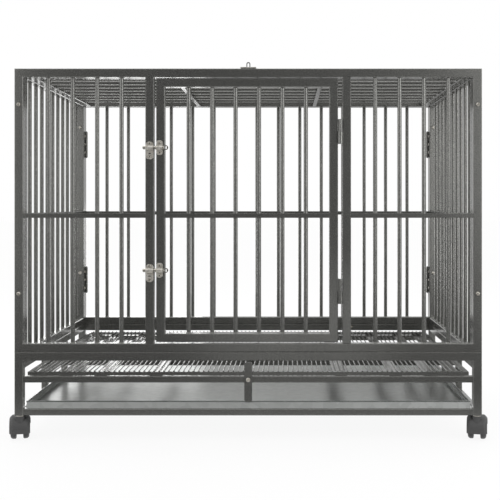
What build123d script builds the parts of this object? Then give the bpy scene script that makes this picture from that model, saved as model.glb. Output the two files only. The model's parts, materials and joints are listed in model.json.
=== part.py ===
from build123d import *
import os

# Heavy-duty dog crate of steel tube and round bar on a wheeled stand.
# Millimetres. +X is to the right of someone facing the door, +Y runs to the back, +Z is up.
# The origin is on the floor, under the middle of the whole object.

# Overall sizes
WIDTH = 1080.0            # over the panels, left to right
DEPTH = 720.0             # front face of the front panel to back face of the back panel
TOP_Z = 860.0             # top of the panels above the floor
FRONT_SILL_Z = 205.0      # underside of the front panel
SIDE_SILL_Z = 185.0       # underside of the side and back panels
LEG_FOOT_Z = 58.0         # underside of the legs, where the casters go in

# Square tube, round bar and flat bar stock
TUBE = 20.0
TUBE_WALL = 1.2
TUBE_CHAMFER = 1.5
BAR_D = 10.0
BELT_H = 10.0             # height of the flat bars that tie the round bars together
BELT_Z = 520.0            # middle of those flat bars

# Bar counts
FRONT_SECTION_BARS = 4
DOOR_BARS = 6
SIDE_BARS = 10
BACK_BARS = 15
LID_BARS = 8

# Front door
DOOR_W = 420.0
DOOR_LATCH_GAP = 5.0
DOOR_HINGE_GAP = 10.0
DOOR_TOP_GAP = 2.5
DOOR_BOTTOM_GAP = 3.0

# Lid
LID_GAP = 2.5
LID_BRACE_SHARE = 0.334   # braces, as a share of half the lid's width
LID_HINGE_SHARE = 0.58    # hinges, as a share of half the lid's width

# Stand
LOWER_RAIL = 16.0         # square tube round the bottom of the stand
GRID_RAIL = 15.0          # square tube that carries the floor grid
GRID_RAIL_TOP_Z = 149.0
POST_1_SHARE = 0.347      # middle posts of the stand, as shares of the depth
POST_2_SHARE = 0.653

# Floor grid and tray
GRID_SIDE_GAP = 10.0      # floor grid to the legs, each side
GRID_BAR_H = 8.0
GRID_WIRE_D = 3.0
GRID_WIRE_PITCH = 11.5
RUNNER_W = 28.0
RUNNER_H = 1.6
RUNNER_SHARES = (0.42, 0.67, 0.83, 0.945)   # runner places as shares of half the grid's width
TRAY_SIDE_GAP = 7.0       # tray to the legs, each side
TRAY_H = 17.5
SHEET = 1.2
HEM = 3.0
SLIDE_GAP = 0.3           # under the tray and the grid
FRONT_SETBACK = 3.2       # tray and grid fronts behind the front face
BACK_SETBACK = 8.0        # tray and grid backs before the back face

# Barrel bolts on the door
BOLT_D = 8.0
BOLT_UPPER_DROP = 183.0   # upper bolt below the top of the panels
BOLT_LOWER_RISE = 189.0   # lower bolt above the front panel's underside
BOLT_CLEAR = 0.3
PLATE = 1.5               # saddle and keeper plate
BOLT_TIP_PAST = 5.5       # bolt tip past the outer edge of the latch post
SADDLE_W = 15.0
SADDLE_H = 34.0
KEEPER_W = 18.0
KEEPER_UP = 14.0
KEEPER_DOWN = 27.0
LOOP_L = 12.5
LOOP_H = 11.0
LOOP_HOLE = 6.0
LOOP_T = 4.0
SCREW_D = 6.0
SCREW_H = 1.6
SADDLE_SCREW_Z = 11.5
KEEPER_SCREW_UP = 9.9
KEEPER_SCREW_DOWN = 21.0
KEEPER_SLOT_Z = 13.5
KEEPER_SLOT_W = 6.0
KEEPER_SLOT_H = 3.0

# Lift-off door hinges
HINGE_UPPER_DROP = 174.5  # foot of the upper hinge below the top of the panels
HINGE_LOWER_RISE = 112.0  # foot of the lower hinge above the front panel's underside
HINGE_FRONT = 4.0         # hinge axis in front of the front face
KNUCKLE_LOW_R = 6.0
KNUCKLE_TOP_R = 4.0
KNUCKLE_H = 28.5
HINGE_PIN_R = 2.5
HINGE_LEAF_T = 2.5
HINGE_LEAF_D = 20.0
RUN_CLEAR = 0.05          # radial running clearance of pins and axles
END_CLEAR = 0.3           # endways clearance of moving pieces

# Lid hinges and hasp
LEAF_T = 1.6
LEAF_D = 19.0
LID_KNUCKLE_R = 3.2
LID_KNUCKLE_L = 16.0
LID_PIN_R = 1.5
HASP_W = 36.0
HASP_T = 1.8
HASP_AXIS_Y = 26.0        # from the front face
HASP_FRONT_Y = 2.0
HASP_BACK_Y = 40.0
HASP_SLOT_W = 13.0
HASP_SLOT_FRONT_Y = 5.0
HASP_SLOT_BACK_Y = 14.5
STAPLE_Y = 12.0
STAPLE_WIRE_R = 1.25
STAPLE_HALF = 3.5
STAPLE_TOP = 16.5
STAPLE_PLATE_W = 30.0
STAPLE_PLATE_D = 17.0

# Fold hinges inside the back corners, and the bolts that hold the panels together
FOLD_HINGE_H = 73.0
FOLD_HINGE_DROP = 170.0   # foot of the upper hinge below the top of the panels
FOLD_HINGE_RISE = 97.0    # foot of the lower hinge above the side panel's underside
FOLD_KNUCKLE_R = 4.2
FOLD_LEAF_D = 17.0
CORNER_BOLT_DROP = 83.0   # upper bolts below the top of the panels
CORNER_BOLT_RISE = 155.0  # lower bolts above the side panel's underside
CORNER_BOLT_D = 10.0
CORNER_BOLT_H = 4.0
STAND_BOLT_SHARE = 0.53   # as a share of half the width
STAND_BOLT_Z = 175.0
STAND_BOLT_D = 8.0

# Turn latch
TURN_W = 18.0
TURN_T = 2.5
TURN_PIVOT_Z = 141.0
TURN_DOWN = 51.5          # pivot to lower end
TURN_UP = 41.0            # pivot to upper end
TURN_STUD_R = 3.0
TURN_HEAD_R = 5.0
TURN_HEAD_H = 3.0

# Twin-wheel casters
WHEEL_R = 26.5
WHEEL_W = 13.5
WHEEL_INNER_ROUND = 3.0
WHEEL_OUTER_ROUND = 7.0
HUB_R = 13.0
HUB_DISH = 2.0
AXLE_R = 3.0
CASTER_TRAIL = 16.0
FRONT_CASTER_TURN = 13.0  # degrees by which the front casters are swivelled to face inwards
CASTER_W = 47.0
CASTER_SHOULDER = 8.0
WEB_HALF = 7.2
WHEEL_END_CLEAR = 0.5
HOOD_CLEAR = 0.8
HOOD_T = 2.2
HOOD_ARCH_Z = 15.5
HOOD_REAR_Y = 27.0
HOOD_REAR_UP = 4.0        # the hood's rear edge above the axle
STEM_R = 5.0
STEM_FOOT_Z = 32.0
STEM_IN_LEG = 26.0
COLLAR_R = 9.0
COLLAR_H = 2.5
BOSS_R = 10.5
SOCKET_H = 30.0

# Worked out from the sizes above
HALF_W = WIDTH / 2
BAR_R = BAR_D / 2
BELT_T = (TUBE - BAR_D) / 2
BOLT_R = BOLT_D / 2
BOLT_UPPER_Z = TOP_Z - BOLT_UPPER_DROP
BOLT_LOWER_Z = FRONT_SILL_Z + BOLT_LOWER_RISE
HINGE_UPPER_Z = TOP_Z - HINGE_UPPER_DROP
HINGE_LOWER_Z = FRONT_SILL_Z + HINGE_LOWER_RISE
FOLD_HINGE_ZS = (SIDE_SILL_Z + FOLD_HINGE_RISE, TOP_Z - FOLD_HINGE_DROP)
CORNER_BOLT_ZS = (SIDE_SILL_Z + CORNER_BOLT_RISE, TOP_Z - CORNER_BOLT_DROP)
ARCH_IN = BOLT_R + BOLT_CLEAR
ARCH_OUT = ARCH_IN + PLATE
BOLT_FRONT = ARCH_IN + BOLT_CLEAR
FRONT_REACH = BOLT_FRONT + ARCH_OUT
HOOD_R = WHEEL_R + HOOD_CLEAR + HOOD_T
HOOD_REACH = (HOOD_R ** 2 - HOOD_REAR_UP ** 2) ** 0.5
REAR_REACH = CASTER_TRAIL + HOOD_REACH - TUBE / 2
FACE_Y = -(DEPTH + REAR_REACH - FRONT_REACH) / 2
OPENING_W = DOOR_LATCH_GAP + DOOR_W + DOOR_HINGE_GAP
DOOR_LEFT = -OPENING_W / 2 + DOOR_LATCH_GAP
DOOR_RIGHT = DOOR_LEFT + DOOR_W
LATCH_POST_X = -OPENING_W / 2 - TUBE / 2
HINGE_POST_X = OPENING_W / 2 + TUBE / 2
FRONT_H = TOP_Z - FRONT_SILL_Z
SIDE_H = TOP_Z - SIDE_SILL_Z
DOOR_BOTTOM_Z = FRONT_SILL_Z + TUBE + DOOR_BOTTOM_GAP
DOOR_TOP_Z = TOP_Z - TUBE - DOOR_TOP_GAP
SIDE_L = DEPTH - 2 * TUBE
LID_W = WIDTH - 2 * TUBE - 2 * LID_GAP
LID_L = SIDE_L - 2 * LID_GAP
LID_BRACE_X = LID_BRACE_SHARE * LID_W / 2
LID_HINGE_X = LID_HINGE_SHARE * LID_W / 2
STAND_BOLT_X = STAND_BOLT_SHARE * HALF_W
POST_1_Y = POST_1_SHARE * DEPTH
POST_2_Y = POST_2_SHARE * DEPTH
GRID_W = WIDTH - 2 * TUBE - 2 * GRID_SIDE_GAP
TRAY_W = WIDTH - 2 * TUBE - 2 * TRAY_SIDE_GAP
BACK_END_Y = DEPTH - BACK_SETBACK
SIDE_RAIL_TOP_Z = SIDE_SILL_Z
LOWER_RAIL_TOP_Z = LEG_FOOT_Z + LOWER_RAIL


def at(y):
    """Y in the part's frame of a point y behind the front face of the front panel."""
    return FACE_Y + y


def block(x0, x1, y0, y1, z0, z1):
    """A box between two corners. The y values are measured from the front face."""
    middle = Pos((x0 + x1) / 2, at((y0 + y1) / 2), (z0 + z1) / 2)
    return middle * Box(abs(x1 - x0), abs(y1 - y0), abs(z1 - z0))


def rod(start, end, radius):
    """A round rod from start to end."""
    axis = Vector(*end) - Vector(*start)
    return extrude(Plane(origin=start, z_dir=axis) * Circle(radius), axis.length)


def tube_section(size):
    """Square tube: chamfered outside, square inside."""
    outside = Rectangle(size, size)
    outside = chamfer(outside.vertices(), TUBE_CHAMFER)
    return outside - Rectangle(size - 2 * TUBE_WALL, size - 2 * TUBE_WALL)


def tube(start, end, size=TUBE):
    """A length of square tube on the line from start to end, along X, Y or Z."""
    axis = Vector(*end) - Vector(*start)
    across = (0, 1, 0) if abs(axis.X) > 0 else (1, 0, 0)
    place = Plane(origin=start, x_dir=across, z_dir=axis)
    return extrude(place * tube_section(size), axis.length)


def keep_side(solid, point, direction):
    """The part of a solid on the side of point that direction looks to."""
    return split(solid, bisect_by=Plane(origin=point, z_dir=direction), keep=Keep.TOP)


def mitred_frame(width, height):
    """Four tubes mitred into a rectangle: X across the middle, Z up from 0, Y through the tube."""
    side = width / 2
    line = side - TUBE / 2
    low = TUBE / 2
    high = height - TUBE / 2
    pieces = []
    for sign in (-1, 1):
        post = tube((sign * line, 0, 0), (sign * line, 0, height))
        post = keep_side(post, (sign * side, 0, 0), (sign, 0, 1))
        pieces.append(keep_side(post, (sign * side, 0, height), (sign, 0, -1)))
    for level, up in ((low, 1), (high, -1)):
        corner_z = level - up * TUBE / 2
        rail = tube((-side, 0, level), (side, 0, level))
        rail = keep_side(rail, (-side, 0, corner_z), (1, 0, -up))
        pieces.append(keep_side(rail, (side, 0, corner_z), (-1, 0, -up)))
    return pieces


def bar_places(low, high, count):
    """Places of equally spaced bars between two tube faces."""
    pitch = (high - low) / (count + 1)
    return [low + pitch * (i + 1) for i in range(count)]


def upright_bars(low, high, count, height):
    """Round bars between the bottom and top rails of a panel built like mitred_frame."""
    return [rod((x, 0, TUBE), (x, 0, height - TUBE), BAR_R) for x in bar_places(low, high, count)]


def belt(low, high, level):
    """A pair of flat bars that clasp the round bars, one on each face of the panel."""
    centre = (low + high) / 2
    offset = BAR_R + BELT_T / 2
    return [Pos(centre, sign * offset, level) * Box(high - low, BELT_T, BELT_H) for sign in (-1, 1)]


def placed(location, solids):
    return [location * solid for solid in solids]


FRONT_PLACE = Pos(0, at(TUBE / 2), FRONT_SILL_Z)
BACK_PLACE = Pos(0, at(DEPTH - TUBE / 2), SIDE_SILL_Z)
LEFT_PLACE = Pos(-HALF_W + TUBE / 2, at(DEPTH / 2), SIDE_SILL_Z) * Rot(0, 0, 90)
RIGHT_PLACE = Pos(HALF_W - TUBE / 2, at(DEPTH / 2), SIDE_SILL_Z) * Rot(0, 0, 90)
DOOR_PLACE = Pos((DOOR_LEFT + DOOR_RIGHT) / 2, at(TUBE / 2), DOOR_BOTTOM_Z)
LID_PLACE = Pos(0, at(TUBE + LID_GAP), TOP_Z - TUBE / 2) * Rot(-90, 0, 0)


def front_panel():
    """Front panel: mitred frame with two door posts, bars each side of the door."""
    frame = mitred_frame(WIDTH, FRONT_H)
    for x in (LATCH_POST_X, HINGE_POST_X):
        frame.append(tube((x, 0, TUBE), (x, 0, FRONT_H - TUBE)))
    inner = HALF_W - TUBE
    sections = ((-inner, LATCH_POST_X - TUBE / 2), (HINGE_POST_X + TUBE / 2, inner))
    bars = []
    belts = []
    for low, high in sections:
        bars += upright_bars(low, high, FRONT_SECTION_BARS, FRONT_H)
        belts += belt(low, high, BELT_Z - FRONT_SILL_Z)
    return [placed(FRONT_PLACE, group) for group in (frame, bars, belts)]


def plain_panel(place, width, count):
    """A back or side panel: mitred frame, one row of bars, one belt."""
    inner = width / 2 - TUBE
    frame = mitred_frame(width, SIDE_H)
    bars = upright_bars(-inner, inner, count, SIDE_H)
    belts = belt(-inner, inner, BELT_Z - SIDE_SILL_Z)
    return [placed(place, group) for group in (frame, bars, belts)]


def front_door():
    height = DOOR_TOP_Z - DOOR_BOTTOM_Z
    inner = DOOR_W / 2 - TUBE
    frame = mitred_frame(DOOR_W, height)
    bars = upright_bars(-inner, inner, DOOR_BARS, height)
    belts = belt(-inner, inner, BELT_Z - DOOR_BOTTOM_Z)
    return [placed(DOOR_PLACE, group) for group in (frame, bars, belts)]


def lid():
    """Lid: mitred frame, bars from side to side, two pairs of flat braces from front to back."""
    frame = mitred_frame(LID_W, LID_L)
    end = LID_W / 2 - TUBE
    bars = [rod((-end, 0, z), (end, 0, z), BAR_R) for z in bar_places(TUBE, LID_L - TUBE, LID_BARS)]
    offset = BAR_R + BELT_T / 2
    length = LID_L - 2 * TUBE
    braces = []
    for x in (-LID_BRACE_X, LID_BRACE_X):
        for sign in (-1, 1):
            braces.append(Pos(x, sign * offset, LID_L / 2) * Box(BELT_H, BELT_T, length))
    return [placed(LID_PLACE, group) for group in (frame, bars, braces)]


def stand_end(y, top):
    """One end of the stand: two legs mitred into the rail across their tops."""
    line = HALF_W - TUBE / 2
    pieces = []
    for sign in (-1, 1):
        leg = tube((sign * line, at(y), LEG_FOOT_Z), (sign * line, at(y), top))
        pieces.append(keep_side(leg, (sign * HALF_W, at(y), top), (sign, 0, -1)))
    rail = tube((-HALF_W, at(y), top - TUBE / 2), (HALF_W, at(y), top - TUBE / 2))
    rail = keep_side(rail, (-HALF_W, at(y), top), (1, 0, 1))
    pieces.append(keep_side(rail, (HALF_W, at(y), top), (-1, 0, 1)))
    return pieces


def stand_sides():
    """Upper and lower rails of the stand's two sides, with two posts between them on each side."""
    line = HALF_W - TUBE / 2
    upper = SIDE_RAIL_TOP_Z - TUBE / 2
    lower = LEG_FOOT_Z + LOWER_RAIL / 2
    pieces = []
    for x in (-line, line):
        pieces.append(tube((x, at(TUBE), upper), (x, at(DEPTH - TUBE), upper)))
        pieces.append(tube((x, at(TUBE), lower), (x, at(DEPTH - TUBE), lower), LOWER_RAIL))
        for y in (POST_1_Y, POST_2_Y):
            foot = (x, at(y), LOWER_RAIL_TOP_Z)
            head = (x, at(y), SIDE_RAIL_TOP_Z - TUBE)
            pieces.append(tube(foot, head, LOWER_RAIL))
    return pieces


def cross_rails(size, top):
    """Rails from side to side under the grid or the tray: at both ends and at the middle posts."""
    level = top - size / 2
    leg_face = HALF_W - TUBE
    post_face = HALF_W - TUBE / 2 - LOWER_RAIL / 2
    rails = []
    for y in (TUBE / 2, DEPTH - TUBE / 2):
        rails.append(tube((-leg_face, at(y), level), (leg_face, at(y), level), size))
    for y in (POST_1_Y, POST_2_Y):
        rails.append(tube((-post_face, at(y), level), (post_face, at(y), level), size))
    return rails


def grid_frame():
    """Floor grid frame: a border of four bars with flat runners underneath."""
    half = GRID_W / 2
    bar_z = GRID_RAIL_TOP_Z + SLIDE_GAP + RUNNER_H
    top = bar_z + GRID_BAR_H
    front = FRONT_SETBACK
    back = BACK_END_Y
    pieces = [
        block(-half, half, front, front + GRID_BAR_H, bar_z, top),
        block(-half, half, back - GRID_BAR_H, back, bar_z, top),
    ]
    for sign in (-1, 1):
        edge = sign * half
        inner = sign * (half - GRID_BAR_H)
        pieces.append(block(inner, edge, front + GRID_BAR_H, back - GRID_BAR_H, bar_z, top))
    for share in RUNNER_SHARES:
        for centre in (-share * half, share * half):
            low = centre - RUNNER_W / 2
            high = centre + RUNNER_W / 2
            pieces.append(block(low, high, front, back, bar_z - RUNNER_H, bar_z))
    return pieces


def grid_wires():
    """Wires of the floor grid, front to back, with room in the middle for the turn latch's upper end.
    Six-sided, because there are so many of them."""
    level = GRID_RAIL_TOP_Z + SLIDE_GAP + RUNNER_H + GRID_BAR_H + GRID_WIRE_D / 2
    start = FRONT_SETBACK
    length = BACK_END_Y - FRONT_SETBACK
    count = int((GRID_W - GRID_WIRE_PITCH) / (2 * GRID_WIRE_PITCH))
    places = [i * GRID_WIRE_PITCH for i in range(-count, count + 1)]
    room = (TURN_W + GRID_WIRE_D) / 2 + SLIDE_GAP
    wire = extrude(RegularPolygon(GRID_WIRE_D / 2, 6, major_radius=False), length)
    wire = Rot(-90, 0, 0) * wire
    return [Pos(x, at(start), level) * wire for x in places if abs(x) > room]


def tray():
    """Sheet steel drip tray with a hem folded inwards round its rim."""
    length = BACK_END_Y - FRONT_SETBACK
    floor_z = LOWER_RAIL_TOP_Z + SLIDE_GAP
    corner = Pos(0, at(FRONT_SETBACK + length / 2), floor_z)
    low = Align.MIN
    mid = Align.CENTER
    pan = Box(TRAY_W, length, TRAY_H, align=(mid, mid, low))
    well = Box(TRAY_W - 2 * SHEET, length - 2 * SHEET, TRAY_H, align=(mid, mid, low))
    hem = Box(TRAY_W - 2 * SHEET, length - 2 * SHEET, SHEET, align=(mid, mid, low))
    mouth = Box(TRAY_W - 2 * HEM, length - 2 * HEM, TRAY_H, align=(mid, mid, low))
    pan = pan - Pos(0, 0, SHEET) * well
    rim = hem - mouth
    return [corner * (pan + Pos(0, 0, TRAY_H - SHEET) * rim)]


def strap(width, up, down):
    """A plate with an arch over the bolt, bolt axis along X through the origin, face at +Y."""
    face = BOLT_FRONT
    plane = Plane(origin=(-width / 2, 0, 0), x_dir=(0, 1, 0), z_dir=(1, 0, 0))
    plate = Pos(face - PLATE / 2, (up - down) / 2) * Rectangle(PLATE, up + down)
    outside = Circle(ARCH_OUT) + Pos(face / 2, 0) * Rectangle(face, 2 * ARCH_OUT)
    inside = Circle(ARCH_IN) + Pos(face / 2, 0) * Rectangle(face, 2 * ARCH_IN)
    body = extrude(plane * (plate + outside - inside), width)
    front = Plane(origin=(0, face, (up - down) / 2), x_dir=(1, 0, 0), z_dir=(0, -1, 0))
    outline = RectangleRounded(width, up + down, width / 2 - PLATE)
    return body & extrude(front * outline, face + ARCH_OUT + PLATE)


def screw_head(diameter, height):
    """A low round head on the plane Y = 0, standing towards -Y."""
    return rod((0, 0, 0), (0, -height, 0), diameter / 2)


def latch_fittings():
    """Keepers on the latch post and saddles on the door, each with its screw heads."""
    keepers = []
    keeper_screws = []
    saddles = []
    saddle_screws = []
    head = screw_head(SCREW_D, SCREW_H)
    saddle_x = DOOR_LEFT + SADDLE_W / 2 + BOLT_CLEAR
    slot = Pos(0, BOLT_FRONT - PLATE / 2, -KEEPER_SLOT_Z) * Box(KEEPER_SLOT_W, 2 * PLATE, KEEPER_SLOT_H)
    keeper = strap(KEEPER_W, KEEPER_UP, KEEPER_DOWN) - slot
    for z in (BOLT_UPPER_Z, BOLT_LOWER_Z):
        keepers.append(Pos(LATCH_POST_X, at(-BOLT_FRONT), z) * keeper)
        for rise in (KEEPER_SCREW_UP, -KEEPER_SCREW_DOWN):
            keeper_screws.append(Pos(LATCH_POST_X, at(-PLATE), z + rise) * head)
        saddles.append(Pos(saddle_x, at(-BOLT_FRONT), z) * strap(SADDLE_W, SADDLE_H / 2, SADDLE_H / 2))
        for rise in (SADDLE_SCREW_Z, -SADDLE_SCREW_Z):
            saddle_screws.append(Pos(saddle_x, at(-PLATE), z + rise) * head)
    return keepers, keeper_screws, saddles, saddle_screws


def barrel_bolt(z):
    """A round bolt with a flat finger loop on its right-hand end."""
    tip = LATCH_POST_X - TUBE / 2 - BOLT_TIP_PAST
    loop_left = DOOR_LEFT + SADDLE_W + 2 * BOLT_CLEAR + END_CLEAR
    y = at(-BOLT_FRONT)
    shaft = rod((tip, y, z), (loop_left + LOOP_T / 2, y, z), BOLT_R)
    shaft = chamfer(shaft.faces().sort_by(Axis.X)[0].edges(), PLATE)
    face = Plane(origin=(loop_left + LOOP_L / 2, y - LOOP_T / 2, z), x_dir=(1, 0, 0), z_dir=(0, 1, 0))
    outline = SlotOverall(LOOP_L, LOOP_H) if LOOP_L > LOOP_H else Circle(LOOP_H / 2)
    loop = extrude(face * outline, LOOP_T)
    hole = extrude(face * Rectangle(LOOP_HOLE, LOOP_HOLE), LOOP_T)
    return [shaft + loop - hole]


def door_hinges():
    """Lift-off hinges: a knuckle with a pin on the post, and a sleeve on the door that drops over it."""
    x = DOOR_RIGHT + DOOR_HINGE_GAP / 2
    y = at(-HINGE_FRONT)
    lower_halves = []
    upper_halves = []
    for z in (HINGE_LOWER_Z, HINGE_UPPER_Z):
        low_top = z + KNUCKLE_H
        sleeve_foot = low_top + END_CLEAR
        sleeve_top = sleeve_foot + KNUCKLE_H
        leaf_back = -HINGE_FRONT + HINGE_LEAF_D
        post_face = HINGE_POST_X - TUBE / 2
        knuckle = rod((x, y, z), (x, y, low_top), KNUCKLE_LOW_R)
        pin = rod((x, y, z), (x, y, sleeve_top), HINGE_PIN_R)
        post_leaf = block(post_face - HINGE_LEAF_T, post_face, -HINGE_FRONT, leaf_back, z, low_top)
        lower_halves.append(knuckle + post_leaf + pin)
        sleeve = rod((x, y, sleeve_foot), (x, y, sleeve_top), KNUCKLE_TOP_R)
        leaf_edge = DOOR_RIGHT + HINGE_LEAF_T
        door_leaf = block(DOOR_RIGHT, leaf_edge, -HINGE_FRONT, leaf_back, sleeve_foot, sleeve_top)
        bore = rod((x, y, sleeve_foot), (x, y, sleeve_top), HINGE_PIN_R + RUN_CLEAR)
        upper_halves.append(sleeve + door_leaf - bore)
    return lower_halves, upper_halves


def lid_hinges():
    """Butt hinges on top of the back rail and the lid, three knuckles each, with a pin in the back half."""
    seam = DEPTH - TUBE - LID_GAP / 2
    axis_y = at(seam)
    axis_z = TOP_Z + LID_KNUCKLE_R + RUN_CLEAR
    leaf_top = TOP_Z + LEAF_T
    clear = LID_KNUCKLE_R + LID_GAP / 2 + END_CLEAR
    back_halves = []
    lid_halves = []
    for x in (-LID_HINGE_X, LID_HINGE_X):
        left = x - 1.5 * LID_KNUCKLE_L
        right = x + 1.5 * LID_KNUCKLE_L
        inner_left = x - 0.5 * LID_KNUCKLE_L
        inner_right = x + 0.5 * LID_KNUCKLE_L
        back_half = rod((left, axis_y, axis_z), (right, axis_y, axis_z), LID_PIN_R)
        back_half = back_half + block(left, right, seam + clear, seam + LEAF_D, TOP_Z, leaf_top)
        for low, high in ((left, inner_left), (inner_right, right)):
            knuckle = rod((low, axis_y, axis_z), (high, axis_y, axis_z), LID_KNUCKLE_R)
            back_half = back_half + knuckle + block(low, high, seam, seam + LEAF_D, TOP_Z, leaf_top)
        back_halves.append(back_half)
        low = inner_left + END_CLEAR
        high = inner_right - END_CLEAR
        knuckle = rod((low, axis_y, axis_z), (high, axis_y, axis_z), LID_KNUCKLE_R)
        tongue = block(low, high, seam - LEAF_D, seam, TOP_Z, leaf_top)
        plate = block(left, right, seam - LEAF_D, seam - clear, TOP_Z, leaf_top)
        bore = rod((left, axis_y, axis_z), (right, axis_y, axis_z), LID_PIN_R + RUN_CLEAR)
        lid_halves.append(knuckle + tongue + plate - bore)
    return back_halves, lid_halves


def hasp():
    """Hasp on the lid and its staple on the front rail: staple, hinge base with pin, swinging leaf."""
    half = HASP_W / 2
    side = HASP_W / 4
    axis_y = at(HASP_AXIS_Y)
    axis_z = TOP_Z + LID_KNUCKLE_R
    leaf_z = TOP_Z + PLATE + END_CLEAR
    leaf_top = leaf_z + HASP_T
    base_top = TOP_Z + LEAF_T
    plate_half = STAPLE_PLATE_W / 2
    plate_back = STAPLE_Y + STAPLE_PLATE_D / 2 - PLATE
    plate_front = plate_back - STAPLE_PLATE_D
    bend_z = TOP_Z + STAPLE_TOP - STAPLE_WIRE_R - STAPLE_HALF
    staple = block(-plate_half, plate_half, plate_front, plate_back, TOP_Z, TOP_Z + PLATE)
    for x in (-STAPLE_HALF, STAPLE_HALF):
        staple = staple + rod((x, at(STAPLE_Y), TOP_Z), (x, at(STAPLE_Y), bend_z), STAPLE_WIRE_R)
    upright = Plane(origin=(STAPLE_HALF, at(STAPLE_Y), bend_z), z_dir=(0, 0, 1))
    turn = Axis((0, at(STAPLE_Y), bend_z), (0, -1, 0))
    staple = staple + revolve(upright * Circle(STAPLE_WIRE_R), turn, 180)
    base = rod((-half, axis_y, axis_z), (half, axis_y, axis_z), LID_PIN_R)
    base_front = HASP_AXIS_Y + LID_KNUCKLE_R + END_CLEAR
    base = base + block(-half, half, base_front, HASP_BACK_Y, TOP_Z, base_top)
    for low, high in ((-half, -side), (side, half)):
        knuckle = rod((low, axis_y, axis_z), (high, axis_y, axis_z), LID_KNUCKLE_R)
        base = base + knuckle + block(low, high, HASP_AXIS_Y, HASP_BACK_Y, TOP_Z, base_top)
    low = -side + END_CLEAR
    high = side - END_CLEAR
    leaf_back = HASP_AXIS_Y - LID_KNUCKLE_R - END_CLEAR
    slot_half = HASP_SLOT_W / 2
    leaf = rod((low, axis_y, axis_z), (high, axis_y, axis_z), LID_KNUCKLE_R)
    leaf = leaf + block(low, high, HASP_FRONT_Y, HASP_AXIS_Y, leaf_z, leaf_top)
    leaf = leaf + block(-half, half, HASP_FRONT_Y, leaf_back, leaf_z, leaf_top)
    leaf = leaf - block(-slot_half, slot_half, HASP_SLOT_FRONT_Y, HASP_SLOT_BACK_Y, leaf_z, leaf_top)
    leaf = leaf - rod((-half, axis_y, axis_z), (half, axis_y, axis_z), LID_PIN_R + RUN_CLEAR)
    return [staple], [base], [leaf]


def fold_hinges():
    """Hinges inside the back corners, on which the side panels fold flat before they are bolted."""
    seam = DEPTH - TUBE
    face = HALF_W - TUBE
    third = FOLD_HINGE_H / 3
    room = FOLD_KNUCKLE_R + END_CLEAR
    pieces = []
    for sign in (-1, 1):
        x = sign * (face - FOLD_KNUCKLE_R)
        inner = sign * (face - LEAF_T)
        outer = sign * face
        for z in FOLD_HINGE_ZS:
            one = z + third
            two = z + 2 * third
            top = z + FOLD_HINGE_H
            side_leaf = block(inner, outer, seam - FOLD_LEAF_D, seam - room, z, top)
            back_leaf = block(inner, outer, seam + room, seam + FOLD_LEAF_D, z, top)
            for low, high in ((z, one - END_CLEAR), (two + END_CLEAR, top)):
                side_leaf = side_leaf + rod((x, at(seam), low), (x, at(seam), high), FOLD_KNUCKLE_R)
                side_leaf = side_leaf + block(inner, outer, seam - room, seam, low, high)
            back_leaf = back_leaf + rod((x, at(seam), one), (x, at(seam), two), FOLD_KNUCKLE_R)
            back_leaf = back_leaf + block(inner, outer, seam, seam + room, one, two)
            pieces += [side_leaf, back_leaf]
    return pieces


def panel_bolts():
    """Heads of the bolts that join the panels at the corners and hold the back panel to the stand."""
    head = screw_head(CORNER_BOLT_D, CORNER_BOLT_H)
    small = screw_head(STAND_BOLT_D, CORNER_BOLT_H)
    line = HALF_W - TUBE / 2
    pieces = []
    for x in (-line, line):
        for z in CORNER_BOLT_ZS:
            pieces.append(Pos(x, at(0), z) * head)
            pieces.append(Pos(x, at(DEPTH - 2 * TUBE), z) * head)
    for x in (-STAND_BOLT_X, STAND_BOLT_X):
        pieces.append(Pos(x, at(DEPTH - TUBE), STAND_BOLT_Z) * small)
    return pieces


def turn_latch():
    """Turn latch on the grid rail, and the shoulder screw that it turns on."""
    rail_face = TUBE / 2 - GRID_RAIL / 2
    back = rail_face - END_CLEAR
    front = back - TURN_T
    middle = (TURN_UP - TURN_DOWN) / 2
    face = Plane(origin=(0, at(back), TURN_PIVOT_Z + middle), x_dir=(1, 0, 0), z_dir=(0, -1, 0))
    outline = RectangleRounded(TURN_W, TURN_UP + TURN_DOWN, TURN_W / 3)
    hole = Pos(0, -middle) * Circle(TURN_STUD_R + RUN_CLEAR)
    plate = extrude(face * (outline - hole), TURN_T)
    stud = rod((0, at(rail_face), TURN_PIVOT_Z), (0, at(front - END_CLEAR), TURN_PIVOT_Z), TURN_STUD_R)
    head = Pos(0, at(front - END_CLEAR), TURN_PIVOT_Z) * screw_head(2 * TURN_HEAD_R, TURN_HEAD_H)
    return [plate], [stud + head]


def caster_fixings():
    """Stems of the casters with their collars, and the sockets that hold them in the legs."""
    stems = []
    sockets = []
    line = HALF_W - TUBE / 2
    plug = TUBE - 2 * TUBE_WALL
    for x in (-line, line):
        for y in (TUBE / 2, DEPTH - TUBE / 2):
            top = LEG_FOOT_Z + STEM_IN_LEG
            stem = rod((x, at(y), STEM_FOOT_Z), (x, at(y), top), STEM_R)
            collar = rod((x, at(y), LEG_FOOT_Z - COLLAR_H), (x, at(y), LEG_FOOT_Z), COLLAR_R)
            stems.append(stem + collar)
            low = LEG_FOOT_Z
            body = block(x - plug / 2, x + plug / 2, y - plug / 2, y + plug / 2, low, low + SOCKET_H)
            sockets.append(body - rod((x, at(y), low), (x, at(y), top), STEM_R))
    return stems, sockets


def wheel_edge():
    """Outer half of the wheel's outline, from the tread to the rounded outer face: (x, radius)."""
    near = 0.29 * WHEEL_OUTER_ROUND
    return [
        (WHEEL_W - WHEEL_OUTER_ROUND, WHEEL_R),
        (WHEEL_W - near, WHEEL_R - near),
        (WHEEL_W, WHEEL_R - WHEEL_OUTER_ROUND),
    ]


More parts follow.
